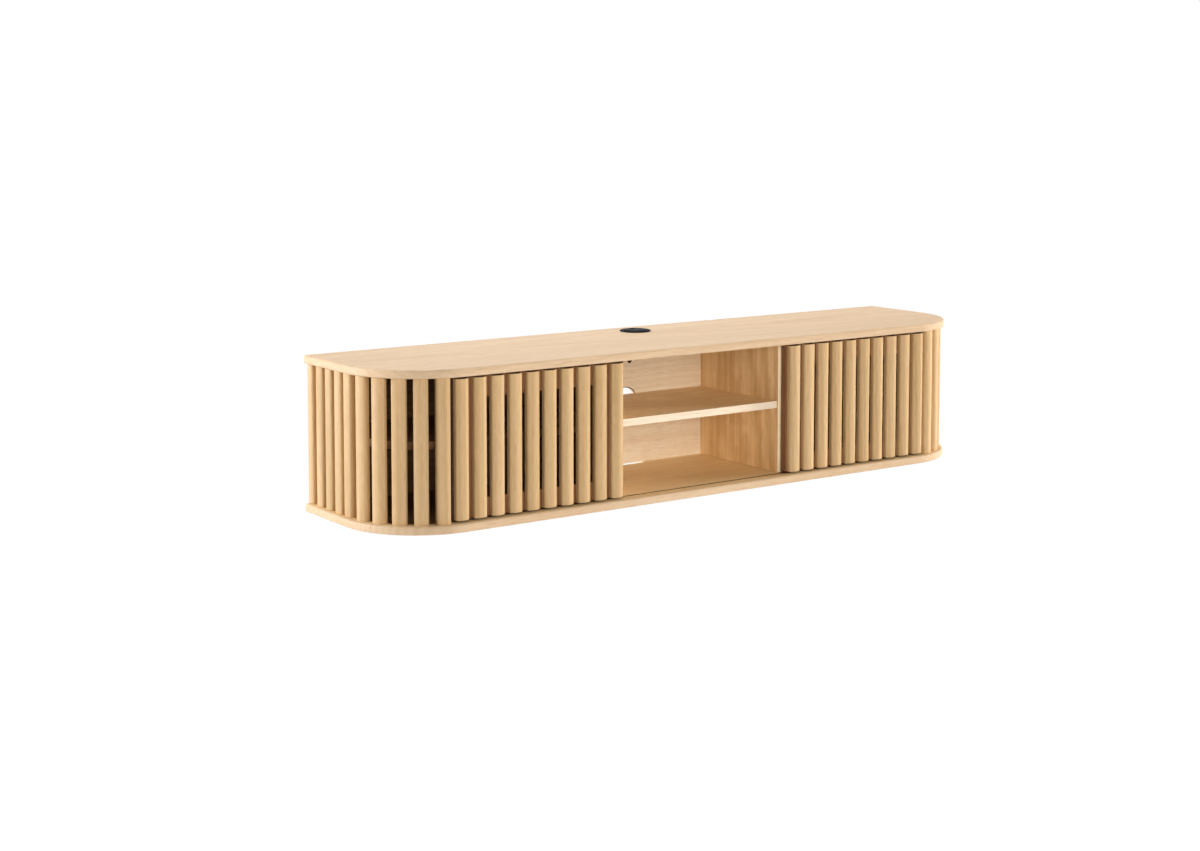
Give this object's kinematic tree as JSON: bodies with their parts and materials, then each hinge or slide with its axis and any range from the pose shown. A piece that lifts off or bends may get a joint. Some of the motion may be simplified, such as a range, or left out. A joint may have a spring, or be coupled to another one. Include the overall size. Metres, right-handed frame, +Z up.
{
  "type": "floating media console",
  "caption": "Wall-hung media console with a D-shaped top and bottom, an open middle bay with a shelf, slatted rounded ends and slatted doors that slide in a groove towards the middle",
  "frame": {"origin": "on the wall plane, midway along the line of wall screws, 215 mm above the console's underside", "axes": "+X along the console to the right as seen from the front, +Y into the wall, +Z up"},
  "size_m": [1.6002, 0.3556, 0.3344],
  "materials": {
    "oak_panel": "satin oak veneer",
    "oak_slat": "satin solid oak",
    "door_frame": "satin, darker oak",
    "pine": "unfinished pine",
    "black_plastic": "fine matte",
    "nylon": "plain",
    "zinc_steel": "zinc plated",
    "black_screw": "black oxide"
  },
  "bodies": {
    "case": {"top_panel": "oak_panel", "bottom_panel": "oak_panel", "back_panel": "oak_panel", "left_side_panel": "oak_panel", "right_side_panel": "oak_panel", "left_divider": "oak_panel", "right_divider": "oak_panel", "centre_shelf": "oak_panel", "left_shelf": "oak_panel", "right_shelf": "oak_panel", "centre_shelf_pins": "zinc_steel", "left_shelf_pins": "zinc_steel", "right_shelf_pins": "zinc_steel", "cabinet_cleat": "pine", "wall_cleat": "pine", "cleat_screws": "black_screw", "left_wall_batten": "pine", "right_wall_batten": "pine", "cam_locks": "zinc_steel", "cam_bolts": "zinc_steel", "grommet_sleeve": "black_plastic", "left_end_slats": "oak_slat", "right_end_slats": "oak_slat", "left_corner_slat_1": "oak_slat", "left_corner_slat_2": "oak_slat", "left_corner_slat_3": "oak_slat", "left_corner_slat_4": "oak_slat", "left_corner_slat_5": "oak_slat", "right_corner_slat_1": "oak_slat", "right_corner_slat_2": "oak_slat", "right_corner_slat_3": "oak_slat", "right_corner_slat_4": "oak_slat", "right_corner_slat_5": "oak_slat"},
    "left_door": {"left_door_frame": "door_frame", "left_door_slat_1": "oak_slat", "left_door_slat_2": "oak_slat", "left_door_slat_3": "oak_slat", "left_door_slat_4": "oak_slat", "left_door_slat_5": "oak_slat", "left_door_slat_6": "oak_slat", "left_door_slat_7": "oak_slat", "left_door_slat_8": "oak_slat", "left_door_slat_9": "oak_slat", "left_door_slat_10": "oak_slat", "left_door_glides": "nylon"},
    "right_door": {"right_door_frame": "door_frame", "right_door_slat_1": "oak_slat", "right_door_slat_2": "oak_slat", "right_door_slat_3": "oak_slat", "right_door_slat_4": "oak_slat", "right_door_slat_5": "oak_slat", "right_door_slat_6": "oak_slat", "right_door_slat_7": "oak_slat", "right_door_slat_8": "oak_slat", "right_door_slat_9": "oak_slat", "right_door_slat_10": "oak_slat", "right_door_glides": "nylon"},
    "grommet_turn": {"grommet_cap": "black_plastic"}
  },
  "joints": [
    {"name": "left_door_slide", "type": "slide", "parent": "case", "child": "left_door", "axis": [1, 0, 0], "range_m": [0, 0.225]},
    {"name": "right_door_slide", "type": "slide", "parent": "case", "child": "right_door", "axis": [-1, 0, 0], "range_m": [0, 0.225]},
    {"name": "grommet_cap_turn", "type": "hinge", "parent": "case", "child": "grommet_turn", "pos_m": [0, -0.07, 0.1152], "axis": [0, 0, 1], "continuous": true}
  ]
}
